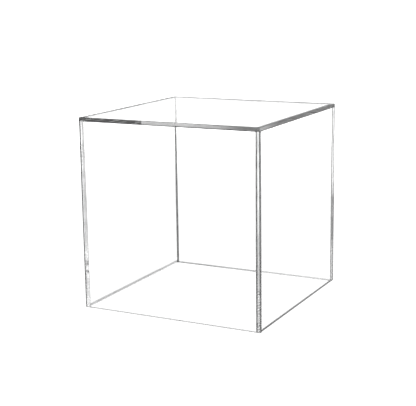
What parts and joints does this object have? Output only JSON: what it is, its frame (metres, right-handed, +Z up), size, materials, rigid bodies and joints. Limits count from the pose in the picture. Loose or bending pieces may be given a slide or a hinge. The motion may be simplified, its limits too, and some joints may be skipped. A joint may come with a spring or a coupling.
{
  "type": "acrylic display cube",
  "caption": "Clear acrylic display cube: flat polished sheets cemented edge to face into a case that is open at the bottom and drops over an exhibit.",
  "frame": {"origin": "middle of the open bottom, on the plane that the bottom rim stands on", "axes": "+Z up through the top panel, -Y towards the front panel, +X towards the right panel as seen from the front"},
  "size_m": [0.127, 0.127, 0.127],
  "materials": {
    "clear_acrylic": "polished",
    "cured_cement": "gloss"
  },
  "bodies": {
    "root": {"top_panel": "clear_acrylic", "front_panel": "clear_acrylic", "back_panel": "clear_acrylic", "left_panel": "clear_acrylic", "right_panel": "clear_acrylic", "front_left_seam": "cured_cement", "front_right_seam": "cured_cement", "back_left_seam": "cured_cement", "back_right_seam": "cured_cement", "top_front_seam": "cured_cement", "top_back_seam": "cured_cement", "top_left_seam": "cured_cement", "top_right_seam": "cured_cement"}
  },
  "joints": []
}
